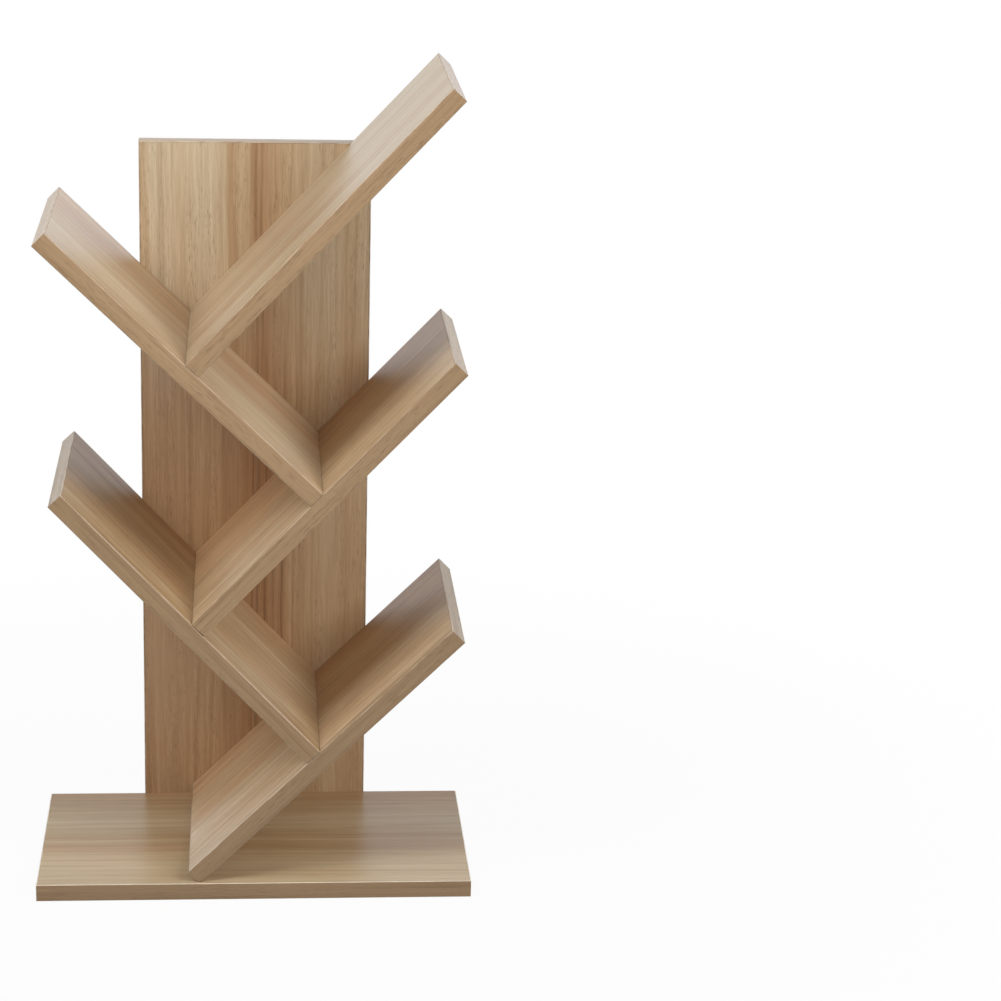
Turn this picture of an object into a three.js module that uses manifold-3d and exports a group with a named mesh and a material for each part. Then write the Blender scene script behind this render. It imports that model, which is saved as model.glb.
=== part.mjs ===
// A tree shaped bookshelf. Five equal branch boards lean right and left in turn, and each
// stands with its square end on the middle of the one below. The lowest stands on its
// corner on a base board, and all are screwed to a narrow back board.
// Lengths are in millimetres. x runs to the right, y to the back and z up.

import * as THREE from 'three';
import { mergeVertices } from 'three/addons/utils/BufferGeometryUtils.js';
import Module from 'manifold-3d';

// Boards
const board_thickness = 16;
const base_width = 400;
const base_front_lip = 4; // how far the base stands out in front of the branches
const branch_depth = 213;
const branch_length = 336;
const joint_distance = 169; // from a branch's lower end to the corner of the next one
const back_width = 216;
const back_height = 667;
const foot_from_middle = 61.5; // the upper corner of the lowest end, left of the middle
const foot_flat_width = 5; // the lowest corner is planed flat to stand on the base

// Edging
const band_thickness = 1;
const band_round = 0.8;
const glue_gap = 0.2;

// Gap between boards that butt at an angle
const seam_gap = 0.3;

// Wooden dowels
const dowel_radius = 4;
const dowel_length = 30;
const dowel_chamfer = 1;
const dowel_wall = 4; // wood left under a dowel hole in a board's face
const dowel_inset = 45; // from the front and rear edges of a branch
const dowel_play = 0.3;
const dowel_end_play = 1;

// Countersunk screws
const screw_length = 48;
const screw_radius = 2.5;
const screw_head_radius = 4.5;
const screw_head_height = 3;
const screw_tip_length = 5;
const screw_tip_radius = 0.8;
const screw_recess = 0.5; // how deep the head lies in the back board
const screw_play = 0.3;
const screw_end_play = 1;
const socket_radius = 1.7;
const socket_depth = 2.2;
const screw_from_end = 50; // lower screw, from a branch's lower end
const screw_from_exit = 30; // upper screw, from where a branch leaves the back board
const base_screw_from_side = 38; // from the sides of the back board

// What a cutting tool overruns the face that it cuts
const overrun = 2;

const round_sides = 12;
const socket_sides = 6;
const band_arc_steps = 3;

// Each branch leans by its angle from level; side is 1 to the right and -1 to the left.
const branch_plan = [
  { name: 'right_branch_bottom', side: 1, lean_degrees: 44.4 },
  { name: 'left_branch_bottom', side: -1, lean_degrees: 46.7 },
  { name: 'right_branch_middle', side: 1, lean_degrees: 46.3 },
  { name: 'left_branch_top', side: -1, lean_degrees: 44.1 },
  { name: 'right_branch_top', side: 1, lean_degrees: 46.8 },
];

// Places that follow from the sizes
const base_depth = branch_depth + base_front_lip;
const front_y = -(base_depth + board_thickness) / 2;
const back_face_y = front_y + base_depth; // the back board's front face
const rear_y = back_face_y + board_thickness;
const branch_front_y = back_face_y - branch_depth;
const branch_rear_y = back_face_y - seam_gap;
const branch_middle_z = -board_thickness / 2; // below a branch's upper face
const band_space = band_thickness + glue_gap;
const stand_height = board_thickness + seam_gap;

const along_x = new THREE.Vector3(1, 0, 0);
const along_y = new THREE.Vector3(0, 1, 0);
const along_z = new THREE.Vector3(0, 0, 1);

const wasm = await Module();
wasm.setup();

// Closed solid from a three.js geometry
function toSolid(geometry) {
  const bare = geometry.clone();
  bare.deleteAttribute('normal');
  bare.deleteAttribute('uv');
  const merged = mergeVertices(bare);
  const index = merged.index.array;
  const corners = [];
  for (let i = 0; i < index.length; i += 3) {
    const [a, b, c] = index.slice(i, i + 3);
    if (a !== b && b !== c && c !== a) corners.push(a, b, c);
  }
  const mesh = new wasm.Mesh({
    numProp: 3,
    vertProperties: new Float32Array(merged.attributes.position.array),
    triVerts: new Uint32Array(corners),
  });
  return new wasm.Manifold(mesh);
}

// A three.js geometry from a closed solid
function toGeometry(solid) {
  const mesh = solid.getMesh();
  const points = new THREE.BufferAttribute(new Float32Array(mesh.vertProperties), 3);
  const geometry = new THREE.BufferGeometry();
  geometry.setAttribute('position', points);
  geometry.setIndex(new THREE.BufferAttribute(new Uint32Array(mesh.triVerts), 1));
  geometry.computeVertexNormals();
  return geometry;
}

// The geometry with each cutter taken out of it
function carve(geometry, cutters) {
  let solid = toSolid(geometry);
  for (const cutter of cutters) solid = solid.subtract(toSolid(cutter));
  return toGeometry(solid);
}

// A block between two opposite corners
function block(low, high) {
  const size = new THREE.Vector3().subVectors(high, low);
  const geometry = new THREE.BoxGeometry(size.x, size.y, size.z);
  const middle = new THREE.Vector3().addVectors(low, high).divideScalar(2);
  return geometry.translate(middle.x, middle.y, middle.z);
}

// A round rod or drill hole from one point to another
function rod(radius, start, end) {
  const way = new THREE.Vector3().subVectors(end, start);
  const geometry = new THREE.CylinderGeometry(radius, radius, way.length(), round_sides);
  const turn = new THREE.Quaternion().setFromUnitVectors(along_y, way.normalize());
  const middle = new THREE.Vector3().addVectors(start, end).divideScalar(2);
  return geometry.applyQuaternion(turn).translate(middle.x, middle.y, middle.z);
}

// A solid turned from a profile of [radius, height] points around the y axis
function turned(profile) {
  return new THREE.LatheGeometry(profile.map(([r, h]) => new THREE.Vector2(r, h)), round_sides);
}

// Edging with its two outer long edges rounded, centred on the middle of the edge it covers
function edging(length, outward, up) {
  const half = board_thickness / 2;
  const flat = band_thickness - band_round;
  const outline = new THREE.Shape();
  outline.moveTo(0, -half);
  outline.lineTo(flat, -half);
  outline.absarc(flat, -half + band_round, band_round, -Math.PI / 2, 0, false);
  outline.absarc(flat, half - band_round, band_round, 0, Math.PI / 2, false);
  outline.lineTo(0, half);
  outline.closePath();
  const options = { depth: length, bevelEnabled: false, curveSegments: band_arc_steps };
  const geometry = new THREE.ExtrudeGeometry(outline, options).translate(0, 0, -length / 2);
  const along = new THREE.Vector3().crossVectors(outward, up);
  return geometry.applyMatrix4(new THREE.Matrix4().makeBasis(outward, up, along));
}

function laminate() {
  return new THREE.MeshStandardMaterial({ color: 0xb89b78, roughness: 0.55, metalness: 0 });
}

function bandMaterial() {
  return new THREE.MeshStandardMaterial({ color: 0xa98a63, roughness: 0.5, metalness: 0 });
}

function beech() {
  return new THREE.MeshStandardMaterial({ color: 0xd9b98c, roughness: 0.7, metalness: 0 });
}

function zincSteel() {
  return new THREE.MeshStandardMaterial({ color: 0xb9bcbf, roughness: 0.35, metalness: 1 });
}

function piece(name, geometry, material, place) {
  const mesh = new THREE.Mesh(geometry, material);
  mesh.name = name;
  if (place) mesh.position.copy(place);
  return mesh;
}

// How far a square end is set back along its branch to clear the sloping face below it
function endSetback(lean, lean_below) {
  const overlap_slope = Math.tan(Math.PI / 2 - lean - lean_below);
  return seam_gap + board_thickness * Math.max(0, overlap_slope);
}

// Where each branch starts: the upper corner of its lower end, and the way it runs
function placeBranches() {
  const placed = [];
  for (const plan of branch_plan) {
    const lean = THREE.MathUtils.degToRad(plan.lean_degrees);
    const way = new THREE.Vector3(plan.side * Math.cos(lean), 0, Math.sin(lean));
    const below = placed.at(-1);
    const start = new THREE.Vector3();
    let setback = 0;
    if (below) {
      setback = endSetback(lean, below.lean);
      start.copy(below.start).addScaledVector(below.way, joint_distance);
    } else {
      const planed = foot_flat_width * Math.sin(lean) * Math.cos(lean);
      const rise = board_thickness * Math.cos(lean) - planed;
      start.set(-foot_from_middle, 0, stand_height + rise);
    }
    start.addScaledVector(way, setback);
    const frame = new THREE.Matrix4().makeRotationY(-plan.side * lean).setPosition(start);
    placed.push({ ...plan, lean, way, start, setback, frame, below });
  }
  return placed;
}

// A point of a branch, by its distance from the lower end, its depth and its height
function branchPoint(branch, distance, y, z) {
  return new THREE.Vector3(branch.side * distance, y, z).applyMatrix4(branch.frame);
}

// Where a branch's middle line leaves the back board, as a distance from its lower end
function exitDistance(branch) {
  const from = branchPoint(branch, 0, 0, branch_middle_z);
  const to_side = (back_width / 2 - branch.side * from.x) / Math.abs(branch.way.x);
  const to_top = (back_height - from.z) / branch.way.z;
  return Math.min(to_side, to_top, branch_length);
}

// Every screw runs forward from the rear face, so its place is an x and a z
function screwPlaces(branches) {
  const places = [];
  for (const branch of branches) {
    const distances = { lower: screw_from_end, upper: exitDistance(branch) - screw_from_exit };
    for (const [label, distance] of Object.entries(distances)) {
      const { x, z } = branchPoint(branch, distance, 0, branch_middle_z);
      places.push({ name: `${branch.name}_${label}_screw`, board: branch.name, x, z });
    }
  }
  const reach = back_width / 2 - base_screw_from_side;
  for (const [label, side] of Object.entries({ left: -1, right: 1 })) {
    const x = side * reach;
    places.push({ name: `base_${label}_screw`, board: 'base_board', x, z: board_thickness / 2 });
  }
  return places;
}

// The screw lies along y with its head to the back and its origin in the rear face
function screw(place) {
  const top = -screw_recess;
  const neck = top - screw_head_height;
  const end = top - screw_length;
  const body = turned([
    [0, end],
    [screw_tip_radius, end],
    [screw_radius, end + screw_tip_length],
    [screw_radius, neck],
    [screw_head_radius, top],
    [0, top],
  ]);
  const cut = socket_depth + overrun;
  const socket = new THREE.CylinderGeometry(socket_radius, socket_radius, cut, socket_sides);
  socket.translate(0, top + (overrun - socket_depth) / 2, 0);
  const at = new THREE.Vector3(place.x, rear_y, place.z);
  return piece(place.name, carve(body, [socket]), zincSteel(), at);
}

// The hole for a screw, with its countersink, around the same axis and origin
function screwHole() {
  const neck = -screw_recess - screw_head_height;
  const end = -screw_recess - screw_length - screw_end_play;
  return turned([
    [0, end],
    [screw_radius + screw_play, end],
    [screw_radius + screw_play, neck],
    [screw_head_radius + screw_play, -screw_recess],
    [screw_head_radius + screw_play, overrun],
    [0, overrun],
  ]);
}

function screwHoles(places) {
  return places.map(({ x, z }) => screwHole().translate(x, rear_y, z));
}

// The dowels under a branch: each lies along the branch, half in it and half in the one below
function dowelPlaces(branch) {
  const misfit = branch.lean + branch.below.lean - Math.PI / 2;
  const face = -branch.setback - (board_thickness / 2) * Math.tan(misfit);
  const hole_start = face - (board_thickness - dowel_wall);
  const start = hole_start + dowel_end_play;
  const depths = { front: branch_front_y + dowel_inset, rear: back_face_y - dowel_inset };
  return Object.entries(depths).map(([label, y]) => ({
    name: `${branch.name}_${label}_dowel`,
    y,
    start,
    end: start + dowel_length,
    hole_start,
    hole_end: start + dowel_length + dowel_end_play,
  }));
}

function dowel(branch, place) {
  const flat_radius = dowel_radius - dowel_chamfer;
  const body = turned([
    [0, 0],
    [flat_radius, 0],
    [dowel_radius, dowel_chamfer],
    [dowel_radius, dowel_length - dowel_chamfer],
    [flat_radius, dowel_length],
    [0, dowel_length],
  ]);
  body.rotateZ((-branch.side * Math.PI) / 2);
  const at = new THREE.Vector3(branch.side * place.start, place.y, branch_middle_z);
  return piece(place.name, body, beech(), at);
}

function dowelHoles(branch) {
  const radius = dowel_radius + dowel_play;
  return dowelPlaces(branch).map((place) => {
    const start = branchPoint(branch, place.hole_start, place.y, branch_middle_z);
    const end = branchPoint(branch, place.hole_end, place.y, branch_middle_z);
    return rod(radius, start, end);
  });
}

// All that lies lower than the top of the base board
function belowStand() {
  const reach = base_width + branch_length;
  const low = new THREE.Vector3(-reach, front_y - overrun, -board_thickness);
  return block(low, new THREE.Vector3(reach, rear_y + overrun, stand_height));
}

// A branch in its own frame: distances run from its lower end and heights from its upper face
function branchGroup(branch, holes) {
  const { name, side, frame, below } = branch;
  const to_branch = frame.clone().invert();
  const into_branch = (cutter) => cutter.applyMatrix4(to_branch);
  const foot = below ? [] : [into_branch(belowStand())];
  const outward = along_x.clone().multiplyScalar(side);

  const core_start = below ? 0 : band_space;
  const core_end = branch_length - band_space;
  const core_front_y = branch_front_y + band_space;
  const ends = [side * core_start, side * core_end].sort((a, b) => a - b);
  const low = new THREE.Vector3(ends[0], core_front_y, -board_thickness);
  const core = carve(block(low, new THREE.Vector3(ends[1], branch_rear_y, 0)), [
    ...holes.map(into_branch),
    ...foot,
  ]);

  const forward = along_y.clone().negate();
  const front_strip = edging(branch_length, forward, along_z);
  const strip_y = branch_front_y + band_thickness;
  front_strip.translate((side * branch_length) / 2, strip_y, branch_middle_z);
  const end_length = branch_rear_y - core_front_y;
  const end_strip = edging(end_length, outward, along_z);
  const end_at = new THREE.Vector3(
    side * (branch_length - band_thickness),
    (branch_rear_y + core_front_y) / 2,
    branch_middle_z,
  );

  const group = new THREE.Group();
  group.position.copy(branch.start);
  group.rotation.y = -side * branch.lean;
  group.add(piece(name, core, laminate()));
  group.add(piece(`${name}_front_band`, carve(front_strip, foot), bandMaterial()));
  group.add(piece(`${name}_end_band`, end_strip, bandMaterial(), end_at));
  if (below) {
    for (const place of dowelPlaces(branch)) group.add(dowel(branch, place));
  } else {
    const foot_strip = edging(end_length, outward.clone().negate(), along_z);
    foot_strip.translate(side * band_thickness, end_at.y, end_at.z);
    group.add(piece(`${name}_foot_band`, carve(foot_strip, foot), bandMaterial()));
  }
  return group;
}

// The base butts against the back board; its front and its two sides are edged
function baseGroup(holes) {
  const group = new THREE.Group();
  const side_x = base_width / 2;
  const core_front_y = front_y + band_space;
  const low = new THREE.Vector3(band_space - side_x, core_front_y, 0);
  const high = new THREE.Vector3(side_x - band_space, back_face_y, board_thickness);
  group.add(piece('base_board', carve(block(low, high), holes), laminate()));

  const middle_z = board_thickness / 2;
  const front_at = new THREE.Vector3(0, front_y + band_thickness, middle_z);
  const front_strip = edging(base_width, along_y.clone().negate(), along_z);
  group.add(piece('base_front_band', front_strip, bandMaterial(), front_at));
  for (const [label, side] of Object.entries({ left: -1, right: 1 })) {
    const outward = along_x.clone().multiplyScalar(side);
    const strip = edging(back_face_y - core_front_y, outward, along_z);
    const at = new THREE.Vector3(
      side * (side_x - band_thickness),
      (back_face_y + core_front_y) / 2,
      middle_z,
    );
    group.add(piece(`base_${label}_band`, strip, bandMaterial(), at));
  }
  return group;
}

// The back board stands on the floor behind the base; its top and its two sides are edged
function backGroup(holes) {
  const group = new THREE.Group();
  const side_x = back_width / 2;
  const core_top = back_height - band_space;
  const low = new THREE.Vector3(band_space - side_x, back_face_y, 0);
  const high = new THREE.Vector3(side_x - band_space, rear_y, core_top);
  group.add(piece('back_board', carve(block(low, high), holes), laminate()));

  const middle_y = (back_face_y + rear_y) / 2;
  const top_at = new THREE.Vector3(0, middle_y, back_height - band_thickness);
  group.add(piece('back_top_band', edging(back_width, along_z, along_y), bandMaterial(), top_at));
  for (const [label, side] of Object.entries({ left: -1, right: 1 })) {
    const outward = along_x.clone().multiplyScalar(side);
    const at = new THREE.Vector3(side * (side_x - band_thickness), middle_y, core_top / 2);
    group.add(piece(`back_${label}_band`, edging(core_top, outward, along_y), bandMaterial(), at));
  }
  return group;
}

function buildShelf() {
  const shelf = new THREE.Group();
  const branches = placeBranches();
  const places = screwPlaces(branches);
  const placesIn = (board) => places.filter((place) => place.board === board);
  shelf.add(baseGroup(screwHoles(placesIn('base_board'))));
  shelf.add(backGroup(screwHoles(places)));
  for (const branch of branches) {
    const joints = branches.filter((other) => other.below && [other, other.below].includes(branch));
    const holes = joints.flatMap(dowelHoles);
    shelf.add(branchGroup(branch, [...holes, ...screwHoles(placesIn(branch.name))]));
  }
  for (const place of places) shelf.add(screw(place));
  return shelf;
}

export default buildShelf();
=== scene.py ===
"""Looks of the tree shaped bookshelf: printed wood boards with edge bands, beech dowels and zinc screws.

Lengths are in metres. Every board and band has a frame of its own, (along, across, through), in which
its grain is drawn: along is its longest side, across its width, and through its thickness.
"""

import math
from collections import namedtuple

import bpy
from mathutils import Euler, Matrix, Vector


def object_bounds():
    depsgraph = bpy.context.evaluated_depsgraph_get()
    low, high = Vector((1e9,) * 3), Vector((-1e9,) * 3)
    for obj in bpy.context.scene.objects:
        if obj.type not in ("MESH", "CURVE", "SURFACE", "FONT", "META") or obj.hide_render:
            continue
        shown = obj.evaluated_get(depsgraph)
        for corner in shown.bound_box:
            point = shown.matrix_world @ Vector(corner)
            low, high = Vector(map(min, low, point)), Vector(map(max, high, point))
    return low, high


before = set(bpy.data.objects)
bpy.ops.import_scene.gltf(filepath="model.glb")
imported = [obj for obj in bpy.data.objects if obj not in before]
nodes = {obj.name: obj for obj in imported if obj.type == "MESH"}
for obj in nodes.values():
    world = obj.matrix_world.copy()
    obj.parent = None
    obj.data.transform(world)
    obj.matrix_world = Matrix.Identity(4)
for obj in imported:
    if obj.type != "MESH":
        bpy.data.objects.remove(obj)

cad_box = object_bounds()

# A layer of noise: how many of its grains fit in a metre each way, the values between which it fades
# in, and the detail and roughness of the noise.
Layer = namedtuple("Layer", "scales fade detail roughness", defaults=((0.3, 0.7), 2.0, 0.5))

# Printed wood, from the palest to the darkest tone of the print.
CREAM = (217, 201, 172)
SAND = (210, 190, 158)
STRAW = (210, 184, 148)
OAT = (203, 178, 143)
HONEY = (206, 176, 138)
TAWNY = (199, 165, 126)
HAZEL = (194, 164, 128)
RUSSET = (193, 158, 122)
BARK = (187, 150, 112)
CHESTNUT = (182, 141, 101)
UMBER = (168, 132, 97)
WALNUT = (148, 112, 78)
PORE = (126, 98, 68)

# Tones across each board, from one long side (0) to the other (1), as in a sheet of real veneer.
GRAIN = {
    "back_board": (
        (0.00, OAT), (0.08, CREAM), (0.20, SAND), (0.28, CREAM), (0.378, SAND), (0.390, HAZEL),
        (0.45, OAT), (0.495, HAZEL), (0.505, UMBER), (0.516, HAZEL), (0.530, UMBER), (0.537, RUSSET),
        (0.56, HAZEL), (0.63, OAT), (0.74, SAND), (0.82, SAND), (0.90, STRAW), (1.00, SAND),
    ),
    "base_board": (
        (0.00, SAND), (0.18, SAND), (0.30, OAT), (0.38, HAZEL), (0.41, HAZEL), (0.45, OAT),
        (0.50, HAZEL), (0.53, OAT), (0.66, SAND), (0.80, OAT), (0.92, HAZEL), (1.00, RUSSET),
    ),
    "right_branch_top": (
        (0.00, OAT), (0.16, SAND), (0.30, HAZEL), (0.33, OAT), (0.42, SAND), (0.60, OAT),
        (0.78, SAND), (0.90, SAND), (1.00, OAT),
    ),
    "left_branch_top": (
        (0.00, OAT), (0.30, SAND), (0.48, OAT), (0.62, OAT), (0.74, RUSSET), (0.84, HAZEL),
        (0.92, OAT), (1.00, HAZEL),
    ),
    "right_branch_middle": (
        (0.00, SAND), (0.20, SAND), (0.30, OAT), (0.36, SAND), (0.50, OAT), (0.66, HONEY),
        (0.82, HAZEL), (1.00, RUSSET),
    ),
    "left_branch_bottom": (
        (0.00, HAZEL), (0.14, OAT), (0.25, HONEY), (0.40, HAZEL), (0.60, OAT), (0.80, HAZEL),
        (1.00, RUSSET),
    ),
    "right_branch_bottom": (
        (0.00, SAND), (0.20, OAT), (0.36, SAND), (0.55, HONEY), (0.70, OAT), (0.86, HONEY),
        (1.00, RUSSET),
    ),
}

# The back board's print is browner and darker lower down, partly its own change of tone and partly
# painted shade under the branches, and turns into the upper one over these distances above the board's
# middle.
PAINTED_SHADE_GRAIN = (
    (0.000, RUSSET), (0.325, TAWNY), (0.355, BARK), (0.420, BARK), (0.445, CHESTNUT),
    (0.475, CHESTNUT), (0.482, WALNUT), (0.489, CHESTNUT), (0.500, UMBER), (0.506, WALNUT),
    (0.512, CHESTNUT), (0.535, CHESTNUT), (0.542, WALNUT), (0.549, CHESTNUT), (0.575, BARK),
    (0.583, UMBER), (0.590, BARK), (0.615, BARK), (0.622, WALNUT), (0.628, BARK), (0.645, TAWNY),
    (0.665, HONEY), (0.671, CHESTNUT), (0.677, HONEY), (0.720, HONEY), (0.840, STRAW),
    (0.920, HONEY), (1.000, HONEY),
)
PAINTED_SHADE_GRAIN_ENDS = (0.05, 0.21)

# How much brighter or darker than these tones each board's print is, in red, green and blue: partly the
# board's own sheet of print and partly painted light, paler on boards that get too little light and
# darker on the base, which gets more.
PRINT_LEVELS_AND_PAINTED_LIGHT = {
    "back_board": (1.03, 1.03, 1.02),
    "base_board": (0.90, 0.90, 0.86),
    "right_branch_top": (1.08, 1.12, 1.18),
    "left_branch_top": (1.28, 1.35, 1.44),
    "right_branch_middle": (1.27, 1.28, 1.29),
    "left_branch_bottom": (1.21, 1.30, 1.34),
    "right_branch_bottom": (1.28, 1.32, 1.39),
}

# How strong each kind of mark in the print is on each board. The back board is the most flecked one.
# The last value is no strength, but the detail of the broad and streaky noise.
MARKS = ("broad", "growth", "streak", "fibre", "hair", "flecks", "relief", "frayed")
LOOKS = {
    "back_board": (0.20, 0.28, 0.26, 0.34, 0.35, 0.46, 0.40, 3.0),
    "base_board": (0.26, 0.34, 0.32, 0.32, 0.26, 0.12, 0.12, 2.0),
    "right_branch_top": (0.26, 0.34, 0.44, 0.55, 0.48, 0.12, 0.12, 2.0),
    "left_branch_top": (0.26, 0.34, 0.44, 0.50, 0.42, 0.12, 0.12, 2.0),
    "right_branch_middle": (0.26, 0.45, 0.60, 0.75, 0.62, 0.16, 0.12, 2.0),
    "left_branch_bottom": (0.26, 0.45, 0.58, 0.75, 0.62, 0.16, 0.12, 2.0),
    "right_branch_bottom": (0.26, 0.42, 0.56, 0.70, 0.60, 0.16, 0.12, 2.0),
}

# What the marks are made of, and the tints that darken the print under them, in the order of printing.
BROAD = Layer((1.5, 52.0, 40.0), (0.30, 0.70))
STREAK = Layer((5.0, 290.0, 60.0), (0.34, 0.70))
FIBRE = Layer((14.0, 620.0, 90.0), (0.30, 0.72), roughness=0.6)
HAIR = Layer((45.0, 1500.0, 200.0), (0.25, 0.75), detail=1.0)
FLECK = Layer((120.0, 1500.0, 300.0), (0.58, 0.68), detail=1.0)
FLECK_CLUSTER = Layer((5.0, 90.0, 30.0), (0.39, 0.62))
TINTS = {
    "broad": (214, 203, 190),
    "growth": (200, 176, 152),
    "streak": (214, 194, 172),
    "fibre": (212, 200, 186),
    "hair": (212, 202, 190),
}

# Where these layers are drawn from the noise, so that they don't follow the others.
RING_ROW = 7.0
CLUSTER_ROW = 4.0
DASH_ROW = 5.0

# Growth lines: their pitch across the board, how thin they are, how they drift and where they show.
RING_PITCH = 0.0135
RING_THINNESS = 7.0
RING_DRIFT = Layer((0.9, 24.0, 20.0), detail=1.0)
RING_DRIFT_REACH = 0.075
RING_PLACES = Layer((1.2, 34.0, 20.0), (0.40, 0.62))

# How the grain wanders, ripples and frays: layers of noise, and how far each moves it across the board.
PRINT_SWAYS = (
    (Layer((1.8, 6.0, 8.0)), 0.016),
    (Layer((13.0, 45.0, 30.0)), 0.0030),
    (Layer((70.0, 330.0, 60.0)), 0.0007),
)
PRINT_STEP = (3.7, 1.3, 2.1)  # from one board's place in the noise to the next one's

# The print's gloss and depth. A lower roughness is glossier.
PRINT_SHEEN = Layer((9.0, 50.0, 30.0), detail=1.0)
PRINT_ROUGHNESS = (0.30, 0.335)
PRINT_BUMP = 0.22
PRINT_DEPTH = 0.0001

# Inks of the edge bands, light, middle and dark. The branches' outer ends and the back's top face up into
# the light and get paler inks, as painted light.
BAND_INKS = (174, 143, 106), (163, 132, 96), (143, 112, 79)
PAINTED_LIGHT_BAND_INKS = (197, 178, 155), (186, 164, 138), (168, 145, 116)
PAINTED_LIGHT_BANDS = ("_end_band", "_top_band")
MIDDLE_INK = 0.4  # where the middle ink lies, from the dark one (0) to the light one (1)

# How bright a band's inks are, as painted light and shade: mostly darker on the lower bands, where less
# light falls. A band takes the first value whose key its name starts with.
BAND_PAINTED_LIGHT = {
    "base_": 0.88,
    "back_top": 0.95,
    "right_branch_top_end": 1.04,
    "right_branch_top": 1.02,
    "left_branch_top_end": 0.96,
    "left_branch_top": 1.02,
    "right_branch_middle_front": 0.985,
    "left_branch_bottom_end": 0.89,
    "left_branch_bottom": 0.95,
    "right_branch_bottom_front": 0.905,
    "right_branch_bottom": 0.92,
}
USUAL_BAND_PAINTED_LIGHT = 1.0

# The paler plastic under the inks, and the least and most of it that shows on a band's corners: partly
# real scraping of the band, partly a painted highlight where the corners catch the light.
BAND_CORE_AND_HIGHLIGHT = (240, 227, 204)
WEAR_AND_HIGHLIGHT = {"base_": (0.80, 1.00), "left_branch_bottom": (0.30, 0.75)}
USUAL_WEAR_AND_HIGHLIGHT = (0.08, 0.50)
SCRAPES_AND_GLINTS = Layer((45.0, 60.0, 60.0), (0.40, 0.60))
CORNER = (0.55, 0.93)  # how squarely a surface faces the band's own way, from its corner to its flat

# The band's print
BAND_SWAYS = ((Layer((9.0, 60.0, 20.0)), 0.0016), (Layer((60.0, 300.0, 60.0)), 0.0005))
BAND_STEP = (2.3, 1.9, 1.0)
BAND_BROAD = Layer((4.0, 190.0, 20.0), detail=3.0, roughness=0.6)
BAND_STREAK = Layer((9.0, 640.0, 20.0), detail=3.0, roughness=0.6)
BAND_WEIGHTS = (0.55, 0.45)
BAND_SPREAD = (0.34, 0.64)
BAND_DASH = Layer((90.0, 1100.0, 20.0), (0.54, 0.66), detail=1.0)
BAND_DASH_CLUSTER = Layer((12.0, 130.0, 20.0), (0.36, 0.60))
FEWEST_DASHES = 0.15  # share of them that is left between the clusters
DASH_STRENGTH = 0.55
STREAK_RELIEF = 0.5
BAND_ROUGHNESS = (0.34, 0.44)
BAND_BUMP = 0.2
BAND_DEPTH = 0.0001

# Raw chipboard: small chips among large flakes, with pits between them.
CHIP_TONES = ((0.0, (108, 80, 52)), (0.3, (170, 134, 90)), (0.65, (206, 176, 130)), (1.0, CREAM))
CHIP_SCALE = 620.0
FLAKE_SCALE = 210.0
CHIP_WEIGHTS = (0.6, 0.4)
CHIP_WARP_SCALE = 160.0
CHIP_WARP = 0.004
PIT_RANGE = (0.0, 0.8)
CHIP_ROUGHNESS = 0.85
CHIP_BUMP = 0.7
CHIP_DEPTH = 0.0003

# Beech: short flecks on a cloudy ground.
BEECH_TONES = ((0.0, (190, 148, 104)), (1.0, (222, 186, 142)))
BEECH_CLOUD = Layer((90.0, 90.0, 90.0))
BEECH_FLECK = Layer((300.0, 300.0, 900.0))
BEECH_WEIGHTS = (0.5, 0.5)
BEECH_ROUGHNESS = 0.6
BEECH_BUMP = 0.4
BEECH_DEPTH = 0.0001

# Zinc: a little cloudy, with fine scratches.
ZINC_TONES = ((0.0, (150, 150, 152)), (1.0, (206, 204, 196)))
ZINC_CLOUD = Layer((700.0, 700.0, 700.0), detail=4.0, roughness=0.6)
ZINC_SCRATCH = Layer((4000.0, 300.0, 400.0), detail=1.0)
ZINC_ROUGHNESS = (0.26, 0.48)
ZINC_BUMP = 0.3
ZINC_DEPTH = 0.00005
TONE_SPREAD = (0.35, 0.65)  # values of cloudy noise that take beech and zinc from dark to light

# A piece's seed is its place in its list plus this, so that no band has a board's seed.
BOARD_SEED = 1.0
BAND_SEED = 0.5

# Tolerances for reading a piece's frame and faces from its mesh
NORMAL_DIGITS = 3
AREA_DIGITS = 9
SQUARE = 0.02  # directions with a smaller dot product are square to each other
ALIGNED = 0.99  # and with a larger one they lie alike
SKIN = 0.0003  # how far a printed face may lie below a board's surface
WELD_REACH = 0.000001
SHARP_CORNER = math.radians(40)

# Softboxes round the object: place, width and height, and power in watts.
LAMPS = {
    "top_front": ((0.0, -1.0, 1.8), (1.4, 0.8), 3.6),
    "left": ((-1.6, -1.1, 2.1), (1.0, 1.0), 36.5),
    "left_high": ((-1.1, -0.8, 2.4), (0.9, 0.9), 5.6),
    "right": ((2.7, -1.65, 2.36), (1.5, 1.5), 80.5),
    "top": ((0.0, 0.0, 2.3), (1.5, 1.5), 1.2),
    "front": ((0.0, -2.8, 1.3), (1.4, 1.4), 7.0),
    "back_left": ((-1.8, 2.6, 0.95), (1.4, 1.4), 15.0),
    "back_right": ((1.8, 2.6, 0.95), (1.4, 1.4), 15.0),
}
LAMP_TARGET = (0.0, 0.0, 0.38)
LAMP_TINT = (0.985, 1.0, 1.03)
WORLD_LIGHT = 0.05  # light from all round, where it only falls on things and isn't seen
WHITE = (1.0, 1.0, 1.0, 1.0)

# The floor's own tone, and how much of it is made white: a share near the object, and all of it from
# the reach on. Both differ between the direct view and mirror images in the object.
FLOOR_HALF = 14.0
FLOOR_GAP = 0.0005  # from the floor to the object's lowest point
FLOOR_TONE = (200, 198, 194)
FLOOR_ROUGHNESS = 0.9
SEEN_SHARE = 0.95
MIRRORED_SHARE = 0.35
NEAR = 0.3  # distance from the middle where the share begins to grow
SEEN_REACH = 1.1
MIRRORED_REACH = 2.2

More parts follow.
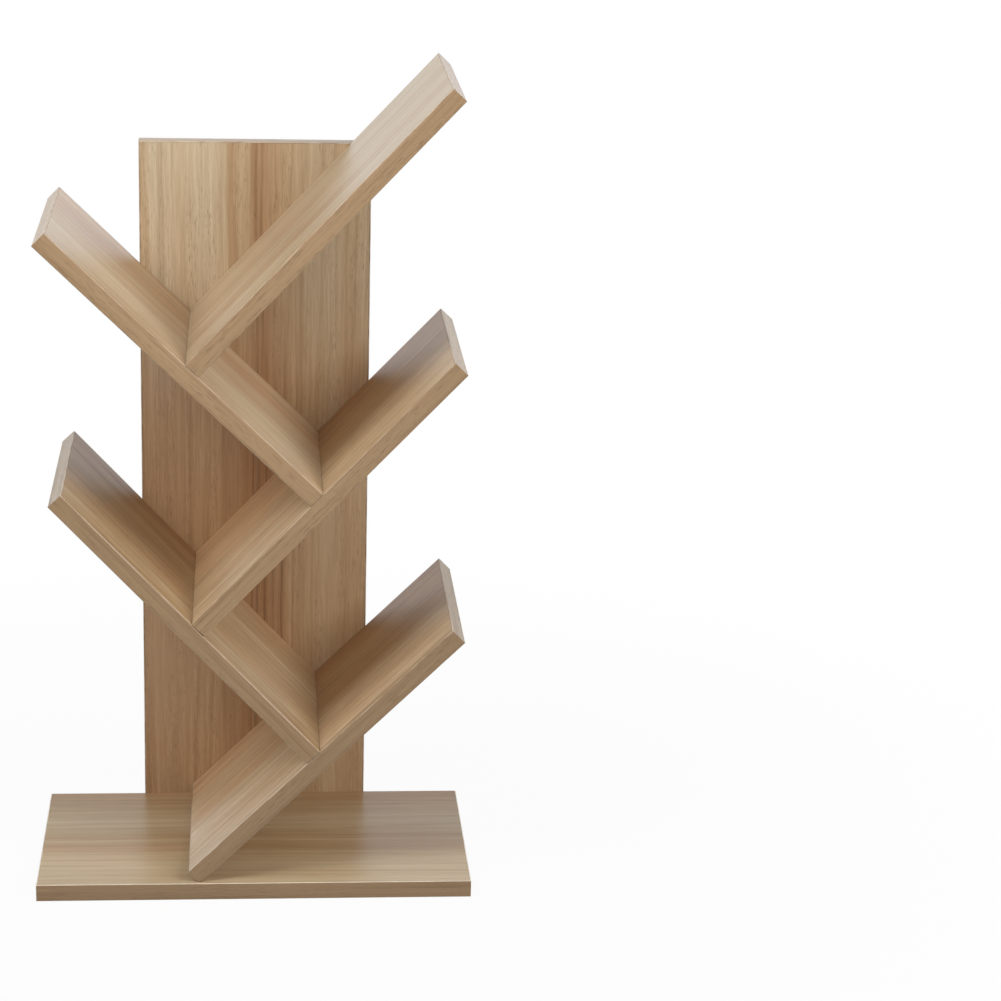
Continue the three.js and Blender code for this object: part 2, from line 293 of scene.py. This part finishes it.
# The wall: it glows, less towards the floor, fades out at its top, and is cooler on the right, higher up.
WALL_RADIUS = 1.9
WALL_TOP = 1.6
WALL_SIDES = 64
WALL_FADE = (1.3, WALL_TOP)
GLOW_HEIGHTS = (0.15, 0.75)
GLOW = (0.34, 1.0)
COOL_TINT = (1.0, 1.06, 1.2, 1.0)
COOL_RIGHT = (-0.1, 0.2)
COOL_HEIGHTS = (0.5, 0.75)

# The photograph's camera, turned about x, y and z, with its lens and sensor in millimetres.
CAMERA_PLACE = (-0.0048, -2.5925, 1.1398)
CAMERA_DEGREES = (73.109, -1.475, -4.689)
CAMERA_LENS = 104.76
CAMERA_SENSOR = 36.0


def colour(rgb):
    """Linear colour of eight-bit display values, by the curve of the sRGB standard."""
    shares = [value / 255 for value in rgb]
    linear = [s / 12.92 if s <= 0.04045 else ((s + 0.055) / 1.055) ** 2.4 for s in shares]
    return (*linear, 1.0)


def set_inputs(tree, node, inputs):
    """Each of these inputs of a node linked to a socket or set to a value."""
    for key, value in inputs.items():
        if isinstance(value, bpy.types.NodeSocket):
            tree.links.new(value, node.inputs[key])
        else:
            node.inputs[key].default_value = value


def add(tree, kind, inputs=None, **settings):
    """A new shader node with its settings and inputs."""
    node = tree.nodes.new("ShaderNode" + kind)
    for key, value in settings.items():
        setattr(node, key, value)
    set_inputs(tree, node, inputs or {})
    return node


def math_of(tree, operation, first, second=0.0):
    """One operation on two values."""
    return add(tree, "Math", {0: first, 1: second}, operation=operation).outputs[0]


def times(tree, first, second):
    """Product of two values."""
    return math_of(tree, "MULTIPLY", first, second)


def times_plus(tree, value, factor, offset):
    """value times factor, plus offset."""
    return add(tree, "Math", {0: value, 1: factor, 2: offset}, operation="MULTIPLY_ADD").outputs[0]


def weighed(tree, first, second, weights):
    """Sum of two values, each times its weight."""
    return math_of(tree, "ADD", times(tree, first, weights[0]), times(tree, second, weights[1]))


def remap(tree, value, old, new=(0.0, 1.0), kind="SMOOTHSTEP"):
    """A value of the old range turned into one of the new range, and held at its ends."""
    inputs = {"Value": value, "From Min": old[0], "From Max": old[1], "To Min": new[0], "To Max": new[1]}
    return add(tree, "MapRange", inputs, interpolation_type=kind).outputs[0]


def mix(tree, factor, first, second, blend="MIX"):
    """Two colours blended by a factor. The node's inputs 6 and 7 are its colours."""
    inputs = {0: factor, 6: first, 7: second}
    return add(tree, "Mix", inputs, data_type="RGBA", blend_type=blend).outputs[2]


def darkened(tree, base, amount, tint):
    """The colour multiplied towards a tint, by an amount from 0 to 1."""
    return mix(tree, amount, base, mix(tree, 1.0, base, colour(tint), "MULTIPLY"))


def scaled(tree, vector, scales, offset):
    """A vector times scales, plus an offset."""
    inputs = {0: vector, 1: scales, 2: offset}
    return add(tree, "VectorMath", inputs, operation="MULTIPLY_ADD").outputs[0]


def noise(tree, place, layer, shift=(0.0, 0.0, 0.0)):
    """Value of a layer of noise at a place, about 0.5 on average."""
    spot = scaled(tree, place, layer.scales, shift)
    inputs = {"Vector": spot, "Scale": 1.0, "Detail": layer.detail, "Roughness": layer.roughness}
    return add(tree, "TexNoise", inputs, noise_dimensions="3D").outputs[0]


def faded(tree, place, layer, shift, new=(0.0, 1.0)):
    """How much of a layer of noise shows at a place."""
    return remap(tree, noise(tree, place, layer, shift), layer.fade, new)


def tones(tree, value, stops, kind="EASE"):
    """Colours laid along a value from 0 to 1."""
    ramp = add(tree, "ValToRGB", {"Fac": value})
    ramp.color_ramp.interpolation = kind
    steps = ramp.color_ramp.elements
    while len(steps) < len(stops):
        steps.new(1.0)
    for step, (place, tone) in zip(steps, stops):
        step.position = place
        step.color = colour(tone)
    return ramp.outputs[0]


def bump(tree, height, strength, distance):
    """Surface direction over a relief, where a height of 1 lies the distance above a height of 0."""
    inputs = {"Strength": strength, "Distance": distance, "Height": height}
    return add(tree, "Bump", inputs).outputs[0]


def new_material(name):
    """A material, its tree, and the Principled shader that it shows."""
    material = bpy.data.materials.new(name)
    material.use_nodes = True
    tree = material.node_tree
    tree.nodes.clear()
    shader = add(tree, "BsdfPrincipled")
    add(tree, "OutputMaterial", {"Surface": shader.outputs[0]})
    return material, tree, shader


def show_mixture(tree, share, first, second):
    """Make a material show two shaders, the second by its share."""
    both = add(tree, "MixShader", {0: share, 1: first.outputs[0], 2: second.outputs[0]})
    output = next(node for node in tree.nodes if node.type == "OUTPUT_MATERIAL")
    tree.links.new(both.outputs[0], output.inputs[0])


def rounded(direction):
    """Parts of a direction, the same for all faces that lie alike."""
    return tuple(round(part, NORMAL_DIGITS) + 0.0 for part in direction)


def frame_of(node):
    """Matrix to a piece's own frame from the shared one, and its size along, across and through.

    Faces that lie alike are added up. The largest sum points through the piece, and the largest that
    is square to it points across.
    """
    sums = {}
    for face in node.data.polygons:
        normal = face.normal if rounded(face.normal) > (0, 0, 0) else -face.normal
        key = rounded(normal)
        sums[key] = sums.get(key, Vector()) + face.area * normal
    ordered = sorted(sums, key=lambda key: (-round(sums[key].length, AREA_DIGITS), key))
    through = sums[ordered[0]].normalized()
    beside = next(sums[key] for key in ordered if abs(Vector(key).dot(through)) < SQUARE)
    across = (beside - beside.dot(through) * through).normalized()
    along = across.cross(through).normalized()
    if max(along, key=abs) < 0:
        along = -along
    if max(across, key=abs) < 0:
        across = -across
    turn = Matrix((along, across, through))
    corners = [turn @ vertex.co for vertex in node.data.vertices]
    low = Vector(min(corner[i] for corner in corners) for i in range(3))
    high = Vector(max(corner[i] for corner in corners) for i in range(3))
    return Matrix.Translation(-(low + high) / 2) @ turn.to_4x4(), high - low


def own_coordinates(tree, to_own):
    """Coordinates in the piece's own frame, drawn from its mesh."""
    place = add(tree, "TexCoord").outputs["Object"]
    parts = []
    for row in (to_own[0], to_own[1], to_own[2]):
        inputs = {0: place, 1: tuple(row[:3])}
        along_row = add(tree, "VectorMath", inputs, operation="DOT_PRODUCT").outputs["Value"]
        parts.append(math_of(tree, "ADD", along_row, row[3]))
    return add(tree, "CombineXYZ", dict(enumerate(parts))).outputs[0]


def bend(tree, place, shift, sways):
    """The place moved a little across the grain, and how far across the piece it then is."""
    parts = add(tree, "SeparateXYZ", {0: place}).outputs
    across = parts[1]
    for layer, reach in sways:
        sway = times_plus(tree, noise(tree, place, layer, shift), reach, -reach / 2)
        across = math_of(tree, "ADD", across, sway)
    return add(tree, "CombineXYZ", {0: parts[0], 1: across, 2: parts[2]}).outputs[0], across


def tonal_bands(tree, place, share, board):
    """Broad bands of tone across a board, browner low on the back board as painted shade, and brighter or
    darker per board, partly as painted light.
    """
    base = tones(tree, share, GRAIN[board])
    # Painted shade: the back board's print turns browner and darker low down, under the branches.
    if board == "back_board":
        height = add(tree, "SeparateXYZ", {0: place}).outputs[0]
        upper = remap(tree, height, PAINTED_SHADE_GRAIN_ENDS)
        base = mix(tree, upper, tones(tree, share, PAINTED_SHADE_GRAIN), base)
    # Each board's level: partly its own sheet of print, partly painted light.
    return mix(tree, 1.0, base, (*PRINT_LEVELS_AND_PAINTED_LIGHT[board], 1.0), "MULTIPLY")


def growth_lines(tree, place, across, shift, seed):
    """Thin lines at an even pitch that drift sideways, and show only here and there."""
    drift = times(tree, noise(tree, place, RING_DRIFT, shift), RING_DRIFT_REACH)
    turns = times(tree, math_of(tree, "ADD", across, drift), math.tau / RING_PITCH)
    swell = times_plus(tree, math_of(tree, "SINE", turns), 0.5, 0.5)
    ring = math_of(tree, "POWER", swell, RING_THINNESS)
    return times(tree, ring, faded(tree, place, RING_PLACES, (seed, RING_ROW, seed)))


def wood_print(tree, place, width, board, seed):
    """Colour and relief of printed wood: tonal bands, growth lines, streaks, fibres and open pores."""
    look = dict(zip(MARKS, LOOKS[board]))
    shift = [seed * step for step in PRINT_STEP]
    bent, across = bend(tree, place, shift, PRINT_SWAYS)
    share = times_plus(tree, across, 1.0 / width, 0.5)
    painted = tonal_bands(tree, place, share, board)
    marks = {
        "broad": faded(tree, bent, BROAD._replace(detail=look["frayed"]), shift),
        "growth": growth_lines(tree, bent, across, shift, seed),
        "streak": faded(tree, bent, STREAK._replace(detail=look["frayed"]), shift),
        "fibre": faded(tree, bent, FIBRE, shift),
        "hair": faded(tree, bent, HAIR, shift),
    }
    for mark, tint in TINTS.items():
        painted = darkened(tree, painted, times(tree, marks[mark], look[mark]), tint)
    fleck = faded(tree, bent, FLECK, shift)
    cluster = faded(tree, bent, FLECK_CLUSTER, (seed, seed, CLUSTER_ROW))
    pore = times(tree, times(tree, fleck, cluster), look["flecks"])
    painted = mix(tree, pore, painted, colour(PORE))
    relief = math_of(tree, "SUBTRACT", times(tree, marks["fibre"], -look["relief"]), pore)
    return painted, relief


def laminate(board, to_own, width, seed):
    """Printed, lightly glossy face of a coated board."""
    material, tree, shader = new_material("laminate_" + board)
    place = own_coordinates(tree, to_own)
    painted, relief = wood_print(tree, place, width, board, seed)
    sheen = faded(tree, place, PRINT_SHEEN, (seed, 0.0, 0.0), PRINT_ROUGHNESS)
    normal = bump(tree, relief, PRINT_BUMP, PRINT_DEPTH)
    set_inputs(tree, shader, {"Base Color": painted, "Roughness": sheen, "Normal": normal})
    return material


def chipboard(name):
    """Raw sawn edge of a board: pressed wood chips of mixed size and tone."""
    material, tree, shader = new_material(name)
    place = add(tree, "TexCoord").outputs["Object"]
    warp = add(tree, "TexNoise", {"Vector": place, "Scale": CHIP_WARP_SCALE}).outputs[1]
    bent = scaled(tree, warp, (CHIP_WARP, CHIP_WARP, CHIP_WARP), place)
    chips = add(tree, "TexVoronoi", {"Vector": bent, "Scale": CHIP_SCALE})
    flakes = add(tree, "TexVoronoi", {"Vector": bent, "Scale": FLAKE_SCALE})
    small = add(tree, "SeparateColor", {0: chips.outputs["Color"]}).outputs[0]
    large = add(tree, "SeparateColor", {0: flakes.outputs["Color"]}).outputs[1]
    painted = tones(tree, weighed(tree, small, large, CHIP_WEIGHTS), CHIP_TONES, "LINEAR")
    pits = remap(tree, chips.outputs["Distance"], PIT_RANGE)
    normal = bump(tree, pits, CHIP_BUMP, CHIP_DEPTH)
    set_inputs(tree, shader, {"Base Color": painted, "Roughness": CHIP_ROUGHNESS, "Normal": normal})
    return material


def first_for(name, table, usual):
    """A table's first value whose key the name starts with, or else the usual one."""
    return next((value for start, value in table.items() if name.startswith(start)), usual)


def band_inks(name):
    """Tones along the spread of a band's print, from its dark to its light ink, made darker or paler as
    painted light.
    """
    # Paler inks on the bands that face up: painted light.
    inks = PAINTED_LIGHT_BAND_INKS if name.endswith(PAINTED_LIGHT_BANDS) else BAND_INKS
    # How bright the inks are, as painted light and shade.
    brightness = first_for(name, BAND_PAINTED_LIGHT, USUAL_BAND_PAINTED_LIGHT)
    light, middle, dark = ([brightness * value for value in ink] for ink in inks)
    return (0.0, dark), (MIDDLE_INK, middle), (1.0, light)


def scraped_and_lit_corners(tree, place, to_own, wear_and_highlight, shift):
    """How much of a band's paler core shows: none on its flat, and the given share on its corners, partly
    real scraping and partly a painted highlight.
    """
    normal = add(tree, "TexCoord").outputs["Normal"]
    inputs = {0: normal, 1: tuple(to_own[2][:3])}
    facing = add(tree, "VectorMath", inputs, operation="DOT_PRODUCT").outputs["Value"]
    turned = remap(tree, math_of(tree, "ABSOLUTE", facing), CORNER, (1.0, 0.0))
    return times(tree, turned, faded(tree, place, SCRAPES_AND_GLINTS, shift, wear_and_highlight))


def edging(name, to_own, seed):
    """Printed plastic edge band: fine dashes along it, inks made darker or paler as painted light, and
    its paler core on the corners, partly real scraping and partly a painted highlight.
    """
    material, tree, shader = new_material("edging_" + name)
    place = own_coordinates(tree, to_own)
    shift = [seed * step for step in BAND_STEP]
    bent, _ = bend(tree, place, shift, BAND_SWAYS)
    broad = noise(tree, bent, BAND_BROAD, shift)
    streak = noise(tree, bent, BAND_STREAK, shift)
    spread = remap(tree, weighed(tree, broad, streak, BAND_WEIGHTS), BAND_SPREAD, kind="LINEAR")
    # The inks are darkened or paled by painted light.
    base = tones(tree, spread, band_inks(name), "LINEAR")
    dash = faded(tree, bent, BAND_DASH, shift)
    cluster = faded(tree, bent, BAND_DASH_CLUSTER, (seed, DASH_ROW, seed), (FEWEST_DASHES, 1.0))
    dash = times(tree, dash, cluster)
    dashed = mix(tree, times(tree, dash, DASH_STRENGTH), base, colour(PORE))
    scraped_and_lit = scraped_and_lit_corners(tree, place, to_own, first_for(name, WEAR_AND_HIGHLIGHT, USUAL_WEAR_AND_HIGHLIGHT), shift)
    # Paler core on the corners: partly real scraping, partly a painted highlight.
    painted = mix(tree, scraped_and_lit, dashed, colour(BAND_CORE_AND_HIGHLIGHT))
    relief = math_of(tree, "SUBTRACT", times(tree, streak, STREAK_RELIEF), dash)
    normal = bump(tree, relief, BAND_BUMP, BAND_DEPTH)
    sheen = remap(tree, broad, BAND_BROAD.fade, BAND_ROUGHNESS)
    set_inputs(tree, shader, {"Base Color": painted, "Roughness": sheen, "Normal": normal})
    return material


def beech(name):
    """Turned beech, cloudy and with short flecks."""
    material, tree, shader = new_material(name)
    place = add(tree, "TexCoord").outputs["Object"]
    fleck = noise(tree, place, BEECH_FLECK)
    cloud = noise(tree, place, BEECH_CLOUD)
    spread = remap(tree, weighed(tree, cloud, fleck, BEECH_WEIGHTS), TONE_SPREAD)
    painted = tones(tree, spread, BEECH_TONES, "LINEAR")
    normal = bump(tree, fleck, BEECH_BUMP, BEECH_DEPTH)
    set_inputs(tree, shader, {"Base Color": painted, "Roughness": BEECH_ROUGHNESS, "Normal": normal})
    return material


def zinc(name):
    """Zinc plated steel, a little cloudy, with fine scratches."""
    material, tree, shader = new_material(name)
    place = add(tree, "TexCoord").outputs["Object"]
    cloud = noise(tree, place, ZINC_CLOUD)
    scratch = noise(tree, place, ZINC_SCRATCH)
    painted = tones(tree, remap(tree, cloud, TONE_SPREAD), ZINC_TONES, "LINEAR")
    sheen = remap(tree, scratch, ZINC_SCRATCH.fade, ZINC_ROUGHNESS)
    normal = bump(tree, scratch, ZINC_BUMP, ZINC_DEPTH)
    inputs = {"Base Color": painted, "Metallic": 1.0, "Roughness": sheen, "Normal": normal}
    set_inputs(tree, shader, inputs)
    return material


def paint(node, *materials):
    """Give a piece these materials and no others."""
    node.data.materials.clear()
    for material in materials:
        node.data.materials.append(material)


def paint_board(board, seed, raw):
    """Print on the two wide faces of a board, and raw chipboard on all its sawn and bored faces."""
    node = nodes[board]
    to_own, size = frame_of(node)
    paint(node, laminate(board, to_own, size[1], seed), raw)
    half = size[2] / 2
    for face in node.data.polygons:
        height = abs((to_own @ face.center)[2])
        lies_flat = abs(to_own[2].xyz.dot(face.normal)) > ALIGNED
        face.material_index = 0 if lies_flat and height > half - SKIN else 1


def soften(node):
    """Rounded corners shade as one curve, and flat faces stay flat."""
    weld = node.modifiers.new("weld", "WELD")
    weld.merge_threshold = WELD_REACH
    node.data.shade_smooth()
    edges = node.modifiers.new("edges", "EDGE_SPLIT")
    edges.split_angle = SHARP_CORNER


def dress_object():
    """Materials on every board, band, dowel and screw."""
    raw_edge = chipboard("raw_chipboard")
    dowel_wood = beech("beech_dowel")
    screw_metal = zinc("zinc_plate")
    for order, board in enumerate(GRAIN):
        paint_board(board, order + BOARD_SEED, raw_edge)
    for order, name in enumerate(sorted(nodes)):
        if name in GRAIN:
            continue
        node = nodes[name]
        if name.endswith("_band"):
            paint(node, edging(name, frame_of(node)[0], order + BAND_SEED))
        elif name.endswith("_dowel"):
            paint(node, dowel_wood)
        else:
            paint(node, screw_metal)
        soften(node)


def light(name, place, size, power):
    """Softbox that faces the object."""
    data = bpy.data.lights.new(name, "AREA")
    data.shape = "RECTANGLE"
    data.size, data.size_y = size
    data.energy = power
    data.color = LAMP_TINT
    lamp = bpy.data.objects.new(name, data)
    lamp.location = place
    lamp.rotation_euler = (Vector(LAMP_TARGET) - Vector(place)).to_track_quat("-Z", "Y").to_euler()
    bpy.context.scene.collection.objects.link(lamp)


def plain_view(tree):
    """1 for the rays that show the surroundings: seen, mirrored or seen through glass."""
    path = add(tree, "LightPath")
    seen = math_of(tree, "MAXIMUM", path.outputs["Is Camera Ray"], path.outputs["Is Glossy Ray"])
    return math_of(tree, "MAXIMUM", seen, path.outputs["Is Transmission Ray"])


def pale_floor():
    """Pale floor that looks white to the eye and in reflections, and keeps a soft shadow."""
    material, tree, shader = new_material("floor")
    set_inputs(tree, shader, {"Base Color": colour(FLOOR_TONE), "Roughness": FLOOR_ROUGHNESS})
    white = add(tree, "Emission", {"Color": WHITE, "Strength": 1.0})
    place = add(tree, "TexCoord").outputs["Object"]
    distance = add(tree, "VectorMath", {0: place}, operation="LENGTH").outputs["Value"]
    mirrored = add(tree, "LightPath").outputs["Is Glossy Ray"]
    least = remap(tree, mirrored, (0.0, 1.0), (SEEN_SHARE, MIRRORED_SHARE), "LINEAR")
    reach = remap(tree, mirrored, (0.0, 1.0), (SEEN_REACH, MIRRORED_REACH), "LINEAR")
    share = times(tree, plain_view(tree), remap(tree, distance, (NEAR, reach), (least, 1.0)))
    show_mixture(tree, share, shader, white)
    return material


def lay_floor(half, height):
    """Square floor, which isn't part of the object."""
    mesh = bpy.data.meshes.new("floor")
    corners = [(-half, -half, height), (half, -half, height), (half, half, height), (-half, half, height)]
    mesh.from_pydata(corners, [], [(0, 1, 2, 3)])
    mesh.materials.append(pale_floor())
    plane = bpy.data.objects.new("floor", mesh)
    bpy.context.scene.collection.objects.link(plane)


def pale_world():
    """Soft light all round, white wherever it is seen or mirrored."""
    world = bpy.data.worlds.new("studio")
    world.use_nodes = True
    tree = world.node_tree
    tree.nodes.clear()
    strength = remap(tree, plain_view(tree), (0.0, 1.0), (WORLD_LIGHT, 1.0), "LINEAR")
    sky = add(tree, "Background", {"Color": WHITE, "Strength": strength})
    add(tree, "OutputWorld", {"Surface": sky.outputs[0]})
    bpy.context.scene.world = world


def wall_glow():
    """Pale glow above, cooler on the right and dimmer towards the floor, clear at the wall's top."""
    material, tree, _ = new_material("wall")
    parts = add(tree, "SeparateXYZ", {0: add(tree, "TexCoord").outputs["Object"]}).outputs
    height = parts[2]
    strength = remap(tree, height, GLOW_HEIGHTS, GLOW, "LINEAR")
    cool = times(tree, remap(tree, parts[0], COOL_RIGHT), remap(tree, height, COOL_HEIGHTS))
    tint = mix(tree, cool, WHITE, COOL_TINT)
    glow = add(tree, "Emission", {"Color": tint, "Strength": strength})
    clear = add(tree, "BsdfTransparent")
    show_mixture(tree, remap(tree, height, WALL_FADE, (1.0, 0.0)), clear, glow)
    return material


def wall_mesh():
    """Round wall without thickness, from the floor up."""
    corners = []
    for height in (0.0, WALL_TOP):
        for side in range(WALL_SIDES):
            turn = math.tau * side / WALL_SIDES
            corners.append((WALL_RADIUS * math.cos(turn), WALL_RADIUS * math.sin(turn), height))
    faces = []
    for side in range(WALL_SIDES):
        beside = (side + 1) % WALL_SIDES
        faces.append((side, beside, WALL_SIDES + beside, WALL_SIDES + side))
    mesh = bpy.data.meshes.new("wall")
    mesh.from_pydata(corners, [], faces)
    mesh.materials.append(wall_glow())
    return mesh


def studio_wall():
    """The wall as an object that only glossy surfaces see."""
    wall = bpy.data.objects.new("wall", wall_mesh())
    wall.visible_camera = False
    wall.visible_diffuse = False
    wall.visible_shadow = False
    wall.visible_transmission = False
    bpy.context.scene.collection.objects.link(wall)


def aim_camera():
    """The photograph's camera, and plain display of colours."""
    data = bpy.data.cameras.new("camera")
    data.sensor_width = CAMERA_SENSOR
    data.lens = CAMERA_LENS
    camera = bpy.data.objects.new("camera", data)
    camera.location = CAMERA_PLACE
    camera.rotation_euler = Euler([math.radians(angle) for angle in CAMERA_DEGREES])
    bpy.context.scene.collection.objects.link(camera)
    bpy.context.scene.camera = camera
    bpy.context.scene.view_settings.view_transform = "Standard"


dress_object()
pale_world()
lay_floor(FLOOR_HALF, cad_box[0].z - FLOOR_GAP)
studio_wall()
for name, (place, size, power) in LAMPS.items():
    light(name, place, size, power)
aim_camera()
